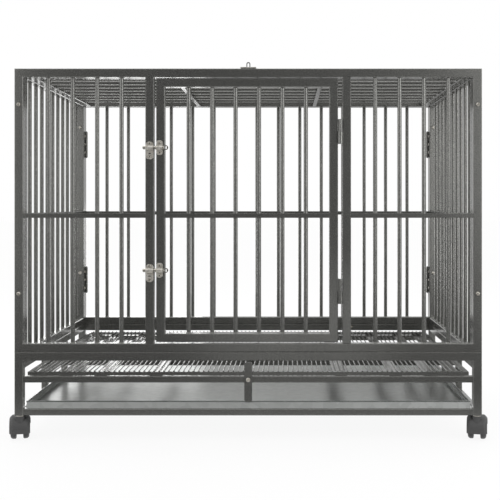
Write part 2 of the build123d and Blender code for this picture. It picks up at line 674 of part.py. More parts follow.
def caster_hood():
    """Caster body: a web between the wheels under a barrel-shaped hood, stem axis on Z through the origin."""
    top = LEG_FOOT_Z - COLLAR_H - END_CLEAR
    half = CASTER_W / 2
    near = 0.15 * CASTER_SHOULDER
    far = 0.7 * CASTER_SHOULDER
    corner = ((CASTER_SHOULDER, 0), (far, near), (near, far), (0, CASTER_SHOULDER))
    right = [(half - x, HOOD_R - r) for x, r in corner]
    left = [(-x, r) for x, r in reversed(right)]
    axle_place = Pos(0, CASTER_TRAIL, WHEEL_R)
    barrel = make_face(Polyline(*[(-half, 0), *left, *right, (half, 0)], close=True))
    body = axle_place * revolve(barrel, Axis.X)
    body = body - Pos(0, CASTER_TRAIL, HOOD_ARCH_Z - HOOD_R) * Box(2 * CASTER_W, 4 * HOOD_R, 2 * HOOD_R)
    rear = Box(2 * CASTER_W, 2 * HOOD_R, 4 * HOOD_R)
    body = body - Pos(0, HOOD_REAR_Y + HOOD_R, WHEEL_R + HOOD_REAR_UP - 2 * HOOD_R) * rear
    body = body + rod((0, 0, WHEEL_R + HOOD_R / 2), (0, 0, top), BOSS_R)
    inner = WEB_HALF + WHEEL_END_CLEAR
    edge = [(inner + x + HOOD_CLEAR / 2, r + HOOD_CLEAR) for x, r in wheel_edge()]
    edge = [(WEB_HALF, 0), (WEB_HALF, WHEEL_R + HOOD_CLEAR), *edge, (CASTER_W, edge[-1][1]), (CASTER_W, 0)]
    well = axle_place * revolve(make_face(Polyline(*edge, close=True)), Axis.X)
    body = body - well - mirror(well, Plane.YZ)
    body = body - rod((0, 0, STEM_FOOT_Z - END_CLEAR), (0, 0, top), STEM_R + RUN_CLEAR)
    reach = inner + WHEEL_W - HUB_DISH
    axle = rod((-reach, CASTER_TRAIL, WHEEL_R), (reach, CASTER_TRAIL, WHEEL_R), AXLE_R)
    return body - rod((-WEB_HALF, CASTER_TRAIL, WHEEL_R), (WEB_HALF, CASTER_TRAIL, WHEEL_R), AXLE_R), axle


def caster_wheel():
    """One wheel, its axis on X, inner face at X = 0 and dished outer face at X = WHEEL_W."""
    bore = AXLE_R + RUN_CLEAR
    outline = [(0, bore), (0, WHEEL_R - WHEEL_INNER_ROUND), (WHEEL_INNER_ROUND, WHEEL_R), *wheel_edge()]
    dish = [(WHEEL_W, HUB_R + HUB_DISH), (WHEEL_W - HUB_DISH, HUB_R), (WHEEL_W - HUB_DISH, bore)]
    return revolve(make_face(Polyline(*outline, *dish, close=True)), Axis.X)


def casters(nodes):
    """Four casters: hood, axle and two wheels each, named front or rear and left or right."""
    hood, axle = caster_hood()
    wheel = caster_wheel()
    line = HALF_W - TUBE / 2
    inner = WEB_HALF + WHEEL_END_CLEAR
    turns = {"front_left": FRONT_CASTER_TURN, "front_right": -FRONT_CASTER_TURN}
    for x, side in ((-line, "left"), (line, "right")):
        for y, end in ((TUBE / 2, "front"), (DEPTH - TUBE / 2, "rear")):
            name = f"{end}_{side}"
            place = Pos(x, at(y), 0) * Rot(0, 0, turns.get(name, 0))
            axis = place * Pos(0, CASTER_TRAIL, WHEEL_R)
            nodes[f"caster_hood_{name}"] = [place * hood]
            nodes[f"caster_axle_{name}"] = [place * axle]
            nodes[f"caster_wheel_{name}_a"] = [axis * Pos(-inner, 0, 0) * Rot(0, 0, 180) * wheel]
            nodes[f"caster_wheel_{name}_b"] = [axis * Pos(inner, 0, 0) * wheel]


def all_nodes():
    """Every node's name with its solids."""
    nodes = {}
    belts = []
    nodes["front_panel_frame"], nodes["front_panel_bars"], front_belts = front_panel()
    belts += front_belts
    panels = (
        ("back", BACK_PLACE, WIDTH, BACK_BARS),
        ("left", LEFT_PLACE, SIDE_L, SIDE_BARS),
        ("right", RIGHT_PLACE, SIDE_L, SIDE_BARS),
    )
    for name, place, width, count in panels:
        frame, bars, panel_belts = plain_panel(place, width, count)
        nodes[f"{name}_panel_frame"] = frame
        nodes[f"{name}_panel_bars"] = bars
        belts += panel_belts
    nodes["panel_belts"] = belts
    nodes["stand_front"] = stand_end(TUBE / 2, FRONT_SILL_Z)
    nodes["stand_rear"] = stand_end(DEPTH - TUBE / 2, SIDE_RAIL_TOP_Z)
    nodes["stand_sides"] = stand_sides()
    nodes["grid_rails"] = cross_rails(GRID_RAIL, GRID_RAIL_TOP_Z)
    nodes["tray_rails"] = cross_rails(LOWER_RAIL, LOWER_RAIL_TOP_Z)
    nodes["panel_bolts"] = panel_bolts()
    nodes["fold_hinges"] = fold_hinges()
    nodes["door_frame"], nodes["door_bars"], nodes["door_belt"] = front_door()
    nodes["door_hinge_pins"], nodes["door_hinge_sleeves"] = door_hinges()
    fittings = latch_fittings()
    nodes["latch_keepers"], nodes["keeper_screws"], nodes["bolt_saddles"], nodes["saddle_screws"] = fittings
    nodes["upper_bolt"] = barrel_bolt(BOLT_UPPER_Z)
    nodes["lower_bolt"] = barrel_bolt(BOLT_LOWER_Z)
    nodes["lid_frame"], nodes["lid_bars"], nodes["lid_braces"] = lid()
    nodes["lid_hinge_backs"], nodes["lid_hinge_leaves"] = lid_hinges()
    nodes["hasp_staple"], nodes["hasp_base"], nodes["hasp_leaf"] = hasp()
    nodes["turn_latch"], nodes["turn_latch_screw"] = turn_latch()
    nodes["floor_grid_frame"] = grid_frame()
    nodes["floor_grid_wires"] = grid_wires()
    nodes["drip_tray"] = tray()
    nodes["caster_stems"], nodes["caster_sockets"] = caster_fixings()
    casters(nodes)
    return nodes


os.makedirs("parts", exist_ok=True)
for node, solids in all_nodes().items():
    whole = [piece for solid in solids for piece in solid.solids()]
    export_step(Compound(whole), f"parts/{node}.step")
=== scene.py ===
import json
import math

import bmesh
import bpy
from mathutils import Matrix, Vector

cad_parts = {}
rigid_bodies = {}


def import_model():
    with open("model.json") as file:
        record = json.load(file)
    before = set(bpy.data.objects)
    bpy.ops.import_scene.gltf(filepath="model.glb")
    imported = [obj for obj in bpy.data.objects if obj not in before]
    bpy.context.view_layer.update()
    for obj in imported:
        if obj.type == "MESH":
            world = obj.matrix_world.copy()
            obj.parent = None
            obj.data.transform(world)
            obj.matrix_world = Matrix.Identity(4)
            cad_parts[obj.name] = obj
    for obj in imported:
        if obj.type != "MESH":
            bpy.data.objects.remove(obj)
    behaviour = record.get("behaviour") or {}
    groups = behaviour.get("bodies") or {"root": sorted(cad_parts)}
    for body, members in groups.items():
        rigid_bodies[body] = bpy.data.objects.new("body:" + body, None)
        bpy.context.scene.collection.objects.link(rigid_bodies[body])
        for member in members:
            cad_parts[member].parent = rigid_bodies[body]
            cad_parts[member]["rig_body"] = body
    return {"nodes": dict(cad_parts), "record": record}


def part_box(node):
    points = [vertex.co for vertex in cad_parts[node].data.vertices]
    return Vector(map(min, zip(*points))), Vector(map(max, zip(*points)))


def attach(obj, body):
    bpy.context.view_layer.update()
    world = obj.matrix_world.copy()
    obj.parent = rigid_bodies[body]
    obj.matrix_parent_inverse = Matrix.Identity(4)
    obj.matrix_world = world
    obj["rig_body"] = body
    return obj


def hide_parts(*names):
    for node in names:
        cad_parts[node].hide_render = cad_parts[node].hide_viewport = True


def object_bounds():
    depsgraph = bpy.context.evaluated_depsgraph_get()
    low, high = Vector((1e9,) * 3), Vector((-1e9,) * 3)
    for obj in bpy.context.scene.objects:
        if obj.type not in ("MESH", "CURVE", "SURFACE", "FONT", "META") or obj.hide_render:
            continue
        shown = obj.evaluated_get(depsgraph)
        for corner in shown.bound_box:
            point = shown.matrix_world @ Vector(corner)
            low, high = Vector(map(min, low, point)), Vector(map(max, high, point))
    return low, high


# Looks of the dog crate: finishes for every CAD piece, then finer screws, bolts, welds, wires, wheels and
# the tray's rim, then the stage, the light and the camera.
# Metres, in the CAD frame: the door faces -Y, and the floor is at Z = 0.

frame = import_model()
nodes = frame["nodes"]
cad_low, cad_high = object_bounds()
MM = 0.001
FACE_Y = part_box("front_panel_frame")[0].y

MERGE_DISTANCE = 0.001 * MM  # corners closer than this are one corner
SHARP_ANGLE = math.radians(40)  # edges sharper than this stay sharp

# Screws and bolts. Shares are of the head's radius or height.
SCREW_STEPS = 24           # sides of a round head
HEAD_FOOT_ROUND = 0.1      # rounding at the foot of a head, share of its height
PAN_TOP_ROUND = 0.6        # rounding at the top of a pan head, share of its height
CROSS_WIDTH = 0.30         # arms of a cross recess, shares of the head's radius
CROSS_REACH = 0.62
CROSS_FLOOR = 0.45         # floor of the recess, share of the head's height
BUTTON_RIM = 0.3           # height and rounding of a button head's rim, share of its height
BUTTON_CROWN = 0.55        # radius where its crown begins, share of its radius
BUTTON_CROWN_ROUND = 0.6
SOCKET_ACROSS = 5.0 * MM   # hexagon socket of the corner bolts, corner to corner
SOCKET_FLOOR = 0.4         # floor of the socket, share of the head's height
CUTTER_TOP = 2.0           # top of a recess's cutter, share of the head's height
LATCH_HEAD_H = 3.0 * MM    # turn latch's screw
LATCH_SHOULDER_R = 3.0 * MM

# Fold hinges
LEAF_T = 1.6 * MM          # hinge leaf
LEAF_SCREW_OUT = 10.8 * MM  # leaf screws, from the hinge's pin
LEAF_SCREW_R = 3.4 * MM
LEAF_SCREW_H = 1.5 * MM
LEAF_SCREW_SHARES = (1 / 6, 1 / 2, 5 / 6)  # their places along the leaf
FINIAL_H = 4.0 * MM        # domed end of a hinge pin
FINIAL_R_SHARE = 0.9       # its radius, share of the barrel's
FINIAL_ROUND_SHARE = 0.8   # its rounding, share of the barrel's radius

# Welds
WELD_STEPS = 20
WELD_THROAT = 2.6 * MM     # how far a weld stands out round a bar, and how far it climbs
WELD_SINK = 0.4 * MM       # how far a weld's root lies inside the bar
WELD_HOLLOW = 0.3          # place of its hollow's corner, share of the throat
WELD_HOLLOW_ROUND = 0.5    # rounding of that corner, share of the throat
WELD_HOLLOW_STEPS = 3
WELD_DROP_R = 2.2 * MM     # drops of the weld rows on the door hinges
WELD_DROP_PITCH = 3.0 * MM
WELD_DROP_IN = 0.8 * MM    # how far a drop's middle lies behind the face
WELD_DROP_STEPS = 12       # sides of a drop
WELD_DROP_RINGS = 6        # steps from its foot to its top

# Grid wires and the tray's rim
WIRE_STEPS = 12
WIRE_END = 0.4 * MM        # chamfer at a wire's ends
BEAD_R = 2.0 * MM          # rolled rim of the tray
BEAD_PROUD = 0.4 * MM      # how far the bead stands out of the tray's wall
BEAD_STEPS = 16

# Caster wheels
WHEEL_STEPS = 56
WHEEL_BORE_R = 3.05 * MM
WHEEL_INNER_ROUND = 3 * MM   # rounding of the tread's inner edge
WHEEL_OUTER_ROUND = 7 * MM   # rounding of the tread's outer edge
DISH_R = (16 * MM, 14.5 * MM)  # dish in the outer face, at its mouth and at its floor
DISH_DEPTH = 2.2 * MM
DISH_ROUND = (0.8 * MM, 1 * MM)
HUB_R = (9.5 * MM, 8.2 * MM)  # raised hub, at its foot and at its top
HUB_BACK = 0.4 * MM          # how far the hub's top lies behind the outer face
HUB_ROUND = 0.8 * MM


def linear(code):
    """An sRGB hex colour as linear values with alpha."""
    values = [int(code[i:i + 2], 16) / 255 for i in (1, 3, 5)]
    return [v / 12.92 if v <= 0.04045 else ((v + 0.055) / 1.055) ** 2.4 for v in values] + [1.0]


def node(tree, kind, settings=None, links=None):
    """Adds a node, or takes one that is there. Settings are attributes, socket values or colour stops."""
    made = tree.nodes.new(kind) if isinstance(kind, str) else kind
    for key, value in (settings or {}).items():
        if key == "stops":
            band = made.color_ramp.elements
            while len(band) < len(value):
                band.new(1.0)
            for element, (position, colour) in zip(band, value):
                element.position = position
                element.color = linear(colour)
        elif key in made.inputs:
            made.inputs[key].default_value = value
        else:
            setattr(made, key, value)
    for key, source in (links or {}).items():
        tree.links.new(source, made.inputs[key])
    return made


def new_material(name):
    """A material's data, its node tree, its shader and the object's own coordinates in metres."""
    material = bpy.data.materials.new(name)
    material.use_nodes = True
    tree = material.node_tree
    place = node(tree, "ShaderNodeTexCoord").outputs["Object"]
    return material, tree, tree.nodes["Principled BSDF"], place


def vein_powder_coat():
    """Silver vein powder coat, baked on steel. Its fine metal flakes mirror the room softly, so faces that
    look at the dim front of the room are dark and side faces are pale, with faint veins over all."""
    material, tree, shader, place = new_material("vein_powder_coat")
    # Veins 2.5 mm apart. The real ones are about 1 mm apart, too fine to show.
    vein = node(tree, "ShaderNodeTexNoise", {"Scale": 1 / (2.5 * MM), "Detail": 3.0, "Distortion": 0.5},
                {"Vector": place}).outputs["Fac"]
    stops = ((0.34, "#737370"), (0.52, "#81817e"), (0.70, "#949490"))
    colour = node(tree, "ShaderNodeValToRGB", {"stops": stops}, {"Fac": vein}).outputs["Color"]
    # The coat lies a little thicker and darker in places a hand's breadth apart.
    cloud = node(tree, "ShaderNodeTexNoise", {"Scale": 1 / (80 * MM), "Detail": 1.0}, {"Vector": place})
    shade = node(tree, "ShaderNodeMapRange", {"To Min": 0.90, "To Max": 1.10},
                 {"Value": cloud.outputs["Fac"]})
    colour = node(tree, "ShaderNodeHueSaturation", None, {"Value": shade.outputs[0], "Color": colour})
    satin = node(tree, "ShaderNodeMapRange", {"To Min": 0.28, "To Max": 0.21}, {"Value": vein}).outputs[0]
    # Tube and plate edges are rolled round, so they catch a line of light.
    edge = node(tree, "ShaderNodeBevel", {"Radius": 0.8 * MM}).outputs[0]
    bump = node(tree, "ShaderNodeBump", {"Strength": 0.02, "Distance": 0.2 * MM},
                {"Height": vein, "Normal": edge})
    node(tree, shader, {"Metallic": 0.85, "Coat Weight": 0.3, "Coat Roughness": 0.12},
         {"Base Color": colour.outputs[0], "Roughness": satin, "Normal": bump.outputs[0]})
    return material


def zinc_plate(name, metallic, dull, bright):
    """Zinc plate, passivated: a silvery metal, a little warm, clouded by handling. Pressed plates are
    duller, and turned rods and screw heads mirror the room more sharply."""
    material, tree, shader, place = new_material(name)
    # Cloudy patches 5 mm across.
    cloud = node(tree, "ShaderNodeTexNoise", {"Scale": 1 / (5 * MM), "Detail": 3.0}, {"Vector": place})
    cloud = cloud.outputs["Fac"]
    stops = ((0.32, "#aca79d"), (0.52, "#cac6be"), (0.72, "#e2dfd9"))
    colour = node(tree, "ShaderNodeValToRGB", {"stops": stops}, {"Fac": cloud}).outputs["Color"]
    gloss = node(tree, "ShaderNodeMapRange", {"To Min": dull, "To Max": bright}, {"Value": cloud}).outputs[0]
    # Pressed and turned edges are a little round.
    edge = node(tree, "ShaderNodeBevel", {"Radius": 1.0 * MM}).outputs[0]
    node(tree, shader, {"Metallic": metallic}, {"Base Color": colour, "Roughness": gloss, "Normal": edge})
    return material


def galvanised_tray_sheet():
    """Galvanised steel sheet, rolled. The eye sees pale grey metal with a faint spangle, and blurred
    upright reflections because of rolling lines that run from side to side."""
    material, tree, shader, place = new_material("galvanised_tray_sheet")
    # Spangle flakes 15 mm across, a common size.
    flake = node(tree, "ShaderNodeTexVoronoi", {"Scale": 1 / (15 * MM)}, {"Vector": place}).outputs["Color"]
    grey = node(tree, "ShaderNodeSeparateColor", None, {"Color": flake}).outputs[0]
    stops = ((0.0, "#b4b6b4"), (0.5, "#babcba"), (1.0, "#c0c2c0"))
    colour = node(tree, "ShaderNodeValToRGB", {"stops": stops}, {"Fac": grey}).outputs["Color"]
    # Rolling lines 2 mm apart and 60 mm long; the real ones are finer.
    stretch = node(tree, "ShaderNodeMapping", {"Scale": (1 / (60 * MM), 1 / (2 * MM), 1 / (2 * MM))},
                   {"Vector": place})
    lines = node(tree, "ShaderNodeTexNoise", {"Scale": 1.0, "Detail": 2.0}, {"Vector": stretch.outputs[0]})
    lines = lines.outputs["Fac"]
    gloss = node(tree, "ShaderNodeMapRange", {"To Min": 0.30, "To Max": 0.36}, {"Value": lines}).outputs[0]
    # The folded walls are duller than the flat bottom, from the bending tool.
    normal = node(tree, "ShaderNodeNewGeometry").outputs["Normal"]
    up = node(tree, "ShaderNodeSeparateXYZ", None, {"Vector": normal}).outputs["Z"]
    up = node(tree, "ShaderNodeMath", {"operation": "ABSOLUTE"}, {0: up}).outputs[0]
    dull = node(tree, "ShaderNodeMapRange", {"To Min": 0.28, "To Max": 0.0}, {"Value": up}).outputs[0]
    gloss = node(tree, "ShaderNodeMath", {"operation": "ADD"}, {0: gloss, 1: dull}).outputs[0]
    # Folds have a small radius.
    edge = node(tree, "ShaderNodeBevel", {"Radius": 2.0 * MM}).outputs[0]
    bump = node(tree, "ShaderNodeBump", {"Strength": 0.04, "Distance": 0.1 * MM},
                {"Height": lines, "Normal": edge})
    # Rolling lines along X blur reflections across themselves, so these run up and down.
    along = node(tree, "ShaderNodeVectorTransform", {"vector_type": "VECTOR", "convert_from": "OBJECT",
                 "convert_to": "WORLD", "Vector": (1, 0, 0)}).outputs[0]
    node(tree, shader, {"Metallic": 1.0, "Anisotropic": 0.5, "Anisotropic Rotation": 0.25},
         {"Base Color": colour, "Roughness": gloss, "Normal": bump.outputs[0], "Tangent": along})
    return material


def moulded_nylon(name, dark, light, rough):
    """Nylon, injection moulded: dark grey and satin, with the fine grain of the mould."""
    material, tree, shader, place = new_material(name)
    # Mould grain 1.2 mm across; the real grain is about 0.3 mm.
    grain = node(tree, "ShaderNodeTexNoise", {"Scale": 1 / (1.2 * MM), "Detail": 2.0}, {"Vector": place})
    grain = grain.outputs["Fac"]
    stops = ((0.3, dark), (0.7, light))
    colour = node(tree, "ShaderNodeValToRGB", {"stops": stops}, {"Fac": grain}).outputs["Color"]
    bump = node(tree, "ShaderNodeBump", {"Strength": 0.1, "Distance": 0.15 * MM}, {"Height": grain})
    node(tree, shader, {"Roughness": rough}, {"Base Color": colour, "Normal": bump.outputs[0]})
    return material


def shade_darkened_zinc():
    """Zinc on metal that is rolled or drawn: the bead on the tray's rim and the wire of the hasp's staple.
    It is smooth there, so it mirrors the dim front of the room. Its colour is also painted darker than zinc,
    as painted shade, so the eye sees dark lines."""
    material, tree, shader, place = new_material("shade_darkened_zinc")
    # Cloudy patches 12 mm across.
    cloud = node(tree, "ShaderNodeTexNoise", {"Scale": 1 / (12 * MM), "Detail": 2.0}, {"Vector": place})
    # Painted shade: these colours are darker than bare zinc, to draw the dark line along the tray's rim; the
    # hasp's staple takes them too.
    stops = ((0.3, "#6a6c6a"), (0.7, "#7c7e7c"))
    colour = node(tree, "ShaderNodeValToRGB", {"stops": stops}, {"Fac": cloud.outputs["Fac"]})
    node(tree, shader, {"Metallic": 1.0, "Roughness": 0.2}, {"Base Color": colour.outputs["Color"]})
    return material


FINISH = {
    "powder_coat": vein_powder_coat(),
    "zinc_plate": zinc_plate("dull_zinc_plate", 0.6, 0.42, 0.2),
    "tray_sheet": galvanised_tray_sheet(),
    "caster_plastic": moulded_nylon("moulded_nylon_hood", "#3d3d3d", "#494949", 0.5),
    "wheel_plastic": moulded_nylon("moulded_nylon_wheel", "#333333", "#3f3f3f", 0.42),
}
SHADE_DARKENED_FINISH = shade_darkened_zinc()
TURNED_FINISH = zinc_plate("bright_turned_zinc", 1.0, 0.3, 0.14)
NODE_FINISH = {"upper_bolt": TURNED_FINISH, "lower_bolt": TURNED_FINISH, "hasp_staple": SHADE_DARKENED_FINISH}
JOINT = {joint["child"]: joint for joint in frame["record"]["behaviour"]["joints"]}
SLOT = {}
for part in frame["record"]["subparts"]:
    SLOT[part["node"]] = part["material_slot"]
    finish_slots = nodes[part["node"]].data.materials
    finish_slots.clear()
    finish_slots.append(NODE_FINISH.get(part["node"], FINISH[part["material_slot"]]))


def solids(name):
    """The separate solids of a CAD node, as pairs of lowest and highest corners."""
    mesh = bmesh.new()
    mesh.from_mesh(nodes[name].data)
    bmesh.ops.remove_doubles(mesh, verts=mesh.verts, dist=MERGE_DISTANCE)
    mesh.verts.ensure_lookup_table()
    mesh.verts.index_update()
    seen = [False] * len(mesh.verts)
    boxes = []
    for first in mesh.verts:
        if seen[first.index]:
            continue
        seen[first.index] = True
        group = [first]
        for vertex in group:
            for edge in vertex.link_edges:
                other = edge.other_vert(vertex)
                if not seen[other.index]:
                    seen[other.index] = True
                    group.append(other)
        columns = list(zip(*(vertex.co for vertex in group)))
        boxes.append((Vector([min(c) for c in columns]), Vector([max(c) for c in columns])))
    mesh.free()
    return sorted(boxes, key=lambda box: tuple(round(v, 5) for v in box[0]))


def aimed(point, direction):
    """The place of something made along +Z, set at a point and turned to a direction."""
    return Matrix.Translation(point) @ Vector(direction).to_track_quat("Z", "Y").to_matrix().to_4x4()


def rounded(corners, closed=False, steps=5):
    """An outline of (across, along) points. Each corner (across, along, radius) becomes an arc."""
    points = []
    count = len(corners)
    for i, (across, along, radius) in enumerate(corners):
        corner = Vector((across, along))
        if radius == 0 or (not closed and i in (0, count - 1)):
            points.append(tuple(corner))
            continue
        back = (Vector(corners[i - 1][:2]) - corner).normalized()
        ahead = (Vector(corners[(i + 1) % count][:2]) - corner).normalized()
        half = back.angle(ahead) / 2
        centre = corner + (back + ahead).normalized() * radius / math.sin(half)
        start = corner + back * radius / math.tan(half) - centre
        end = corner + ahead * radius / math.tan(half) - centre
        turn = start.angle_signed(end)
        for k in range(steps + 1):
            spin = Matrix.Rotation(-turn * k / steps, 2)
            points.append(tuple(centre + spin @ start))
    return points


def turned(mesh, outline, place, steps, ring=False):
    """Adds a body turned about +Z to a mesh. The outline is (radius, height) points, a loop for a ring."""
    rows = []
    for radius, height in outline:
        count = steps if radius > 0 else 1
        row = []
        for k in range(count):
            angle = 2 * math.pi * k / steps
            point = Vector((radius * math.cos(angle), radius * math.sin(angle), height))
            row.append(mesh.verts.new(place @ point))
        rows.append(row)
    pairs = list(zip(rows, rows[1:]))
    if ring:
        pairs.append((rows[-1], rows[0]))
    for low, high in pairs:
        for k in range(steps):
            n = k + 1
            corners = (low[k % len(low)], low[n % steps % len(low)],
                       high[n % steps % len(high)], high[k % len(high)])
            mesh.faces.new(dict.fromkeys(corners))


def prism(mesh, corners, bottom, top):
    """Adds an upright prism over a loop of (x, y) corners to a mesh."""
    rings = [[mesh.verts.new((x, y, z)) for x, y in corners] for z in (bottom, top)]
    mesh.faces.new(rings[0])
    mesh.faces.new(rings[1])
    for k in range(len(corners)):
        n = (k + 1) % len(corners)
        mesh.faces.new((rings[0][k], rings[0][n], rings[1][n], rings[1][k]))


def loose_object(name, mesh):
    """An object of a bmesh, with its normals outwards."""
    bmesh.ops.recalc_face_normals(mesh, faces=mesh.faces)
    data = bpy.data.meshes.new(name)
    mesh.to_mesh(data)
    mesh.free()
    made = bpy.data.objects.new(name, data)
    bpy.context.scene.collection.objects.link(made)
    return made


def carved(solid, tool):
    """A mesh with a tool's shape cut out of it."""
    body = loose_object("body", solid)
    cutter = loose_object("cutter", tool)
    cut = body.modifiers.new("cut", "BOOLEAN")
    cut.operation = "DIFFERENCE"
    cut.solver = "EXACT"
    cut.object = cutter
    result = bpy.data.meshes.new_from_object(body.evaluated_get(bpy.context.evaluated_depsgraph_get()))
    bpy.data.objects.remove(body)
    bpy.data.objects.remove(cutter)
    return result


def piece(name, mesh, slot, body, *replaced):
    """A finished piece: smooth but for its sharp edges, in its slot's finish, riding on its body."""
    made = loose_object(name, mesh)
    made.data.shade_smooth()
    made.data.set_sharp_from_angle(angle=SHARP_ANGLE)
    made.data.materials.append(FINISH[slot])
    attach(made, body)
    if replaced:
        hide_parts(*replaced)
    return made


def pan_head(radius, height):
    """A pan-head screw with a cross recess, standing on Z = 0."""
    head = bmesh.new()
    corners = ((0, 0, 0), (radius, 0, HEAD_FOOT_ROUND * height),
               (radius, height, PAN_TOP_ROUND * height), (0, height, 0))
    turned(head, rounded(corners), Matrix(), SCREW_STEPS)
    cross = bmesh.new()
    arm = CROSS_REACH * radius
    side = CROSS_WIDTH * radius / 2
    quarter = ((side, side), (side, arm), (-side, arm))
    loop = []
    for k in range(4):
        turn = Matrix.Rotation(math.pi / 2 * k, 2)
        loop += [tuple(turn @ Vector(corner)) for corner in quarter]
    prism(cross, loop, CROSS_FLOOR * height, CUTTER_TOP * height)
    return carved(head, cross)


def button_head(radius, height):
    """A domed bolt head with a hexagon socket, standing on Z = 0."""
    head = bmesh.new()
    rim = BUTTON_RIM * height
    corners = ((0, 0, 0), (radius, 0, HEAD_FOOT_ROUND * height), (radius, rim, rim),
               (BUTTON_CROWN * radius, height, BUTTON_CROWN_ROUND * height), (0, height, 0))
    turned(head, rounded(corners), Matrix(), SCREW_STEPS)
    socket = bmesh.new()
    half = SOCKET_ACROSS / 2
    loop = [(half * math.cos(math.pi / 3 * k), half * math.sin(math.pi / 3 * k)) for k in range(6)]
    prism(socket, loop, SOCKET_FLOOR * height, CUTTER_TOP * height)
    return carved(head, socket)


def screws_on(name, head):
    """Heads in place of a node's plain ones, which stand towards -Y on the face that carries them."""
    mesh = bmesh.new()
    for low, high in solids(name):
        middle = (low + high) / 2
        made = head((high.x - low.x) / 2, high.y - low.y)
        made.transform(aimed((middle.x, high.y, middle.z), (0, -1, 0)))
        mesh.from_mesh(made)
    made = piece(name + "_cut", mesh, SLOT[name], nodes[name]["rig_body"], name)
    made.data.materials[0] = TURNED_FINISH


def latch_screw():
    """The turn latch's shoulder screw: a smooth shoulder under a pan head."""
    low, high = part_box("turn_latch_screw")
    middle = (low + high) / 2
    radius = (high.x - low.x) / 2
    mesh = bmesh.new()
    mesh.from_mesh(pan_head(radius, LATCH_HEAD_H))
    depth = high.y - low.y - LATCH_HEAD_H
    outline = ((0, 0), (LATCH_SHOULDER_R, 0), (LATCH_SHOULDER_R, -depth), (0, -depth))
    turned(mesh, outline, Matrix(), SCREW_STEPS)
    mesh.transform(aimed((middle.x, low.y + LATCH_HEAD_H, middle.z), (0, -1, 0)))
    piece("turn_latch_screw_cut", mesh, SLOT["turn_latch_screw"], "crate", "turn_latch_screw")


def hinge_finials():
    """Domed ends of the fold hinges' pins, above and below each barrel."""
    low_all, high_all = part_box("fold_hinges")
    pin_y = (low_all.y + high_all.y) / 2
    mesh = bmesh.new()
    for low, high in solids("fold_hinges"):
        if (low.y + high.y) / 2 > pin_y:
            continue
        radius = (high.x - low.x) / 2
        side = FINIAL_R_SHARE * radius
        corners = ((0, -FINIAL_H / 2, 0), (side, -FINIAL_H / 2, 0),
                   (side, FINIAL_H, FINIAL_ROUND_SHARE * radius), (0, FINIAL_H, 0))
        for level, way in ((low.z, -1), (high.z, 1)):
            place = aimed(((low.x + high.x) / 2, pin_y, level), (0, 0, way))
            turned(mesh, rounded(corners), place, SCREW_STEPS)
    piece("fold_hinge_finials", mesh, "powder_coat", "crate")


def leaf_screws():
    """Three screws through each leaf of the fold hinges inside the back corners."""
    low_all, high_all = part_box("fold_hinges")
    pin_y = (low_all.y + high_all.y) / 2
    head = pan_head(LEAF_SCREW_R, LEAF_SCREW_H)
    mesh = bmesh.new()
    for low, high in solids("fold_hinges"):
        side = 1 if low.x > 0 else -1
        face_x = high.x - LEAF_T if side > 0 else low.x + LEAF_T
        out = LEAF_SCREW_OUT if (low.y + high.y) / 2 > pin_y else -LEAF_SCREW_OUT
        for share in LEAF_SCREW_SHARES:
            spot = (face_x, pin_y + out, low.z + share * (high.z - low.z))
            made = head.copy()
            made.transform(aimed(spot, (-side, 0, 0)))
            mesh.from_mesh(made)
    piece("fold_hinge_screws", mesh, "zinc_plate", "crate")


def hinge_welds():
    """Weld rows that hold the door hinges: each knuckle to its post, each sleeve to the door."""
    arc = [math.pi * k / WELD_DROP_RINGS for k in range(WELD_DROP_RINGS + 1)]
    drop = [(WELD_DROP_R * math.sin(angle), -WELD_DROP_R * math.cos(angle)) for angle in arc]
    post_rows = bmesh.new()
    door_rows = bmesh.new()
    for pin, sleeve in zip(solids("door_hinge_pins"), solids("door_hinge_sleeves")):
        rows = ((post_rows, pin[1].x - WELD_DROP_IN, pin[0].z, sleeve[0].z),
                (door_rows, sleeve[0].x, sleeve[0].z, sleeve[1].z))
        for mesh, x, low, high in rows:
            first, last = low + WELD_DROP_R, high - WELD_DROP_R
            count = round((last - first) / WELD_DROP_PITCH)
            for k in range(count + 1):
                z = first + k * (last - first) / count
                turned(mesh, drop, Matrix.Translation((x, FACE_Y - WELD_DROP_IN, z)), WELD_DROP_STEPS)
    piece("door_hinge_post_welds", post_rows, "powder_coat", "crate")
    piece("door_hinge_door_welds", door_rows, "powder_coat", "front_door")


def bar_welds(name):
    """A fillet weld round both ends of every bar of a node."""
    mesh = bmesh.new()
    for low, high in solids(name):
        size = high - low
        axis = max(range(3), key=lambda k: size[k])
        radius = size[(axis + 1) % 3] / 2
        root = radius - WELD_SINK
        hollow = WELD_HOLLOW * WELD_THROAT
        outline = rounded(((root, 0, 0), (radius + WELD_THROAT, 0, 0),
                           (radius + hollow, hollow, WELD_HOLLOW_ROUND * WELD_THROAT),
                           (root, WELD_THROAT, 0)), closed=True, steps=WELD_HOLLOW_STEPS)
        for end, way in ((low, 1), (high, -1)):
            point = (low + high) / 2
            point[axis] = end[axis]
            direction = [0, 0, 0]
            direction[axis] = way
            turned(mesh, outline, aimed(point, direction), WELD_STEPS, ring=True)
    piece(name + "_welds", mesh, SLOT[name], nodes[name]["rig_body"])


def round_wires():
    """Round wires of the floor grid, chamfered at their ends, in place of the plain ones."""
    mesh = bmesh.new()
    for low, high in solids("floor_grid_wires"):
        middle = (low + high) / 2
        radius = (high.z - low.z) / 2
        length = high.y - low.y
        outline = ((0, 0), (radius - WIRE_END, 0), (radius, WIRE_END),
                   (radius, length - WIRE_END), (radius - WIRE_END, length), (0, length))
        turned(mesh, outline, aimed((middle.x, low.y, middle.z), (0, 1, 0)), WIRE_STEPS)
    piece("floor_grid_round_wires", mesh, SLOT["floor_grid_wires"], nodes["floor_grid_wires"]["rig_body"],
          "floor_grid_wires")


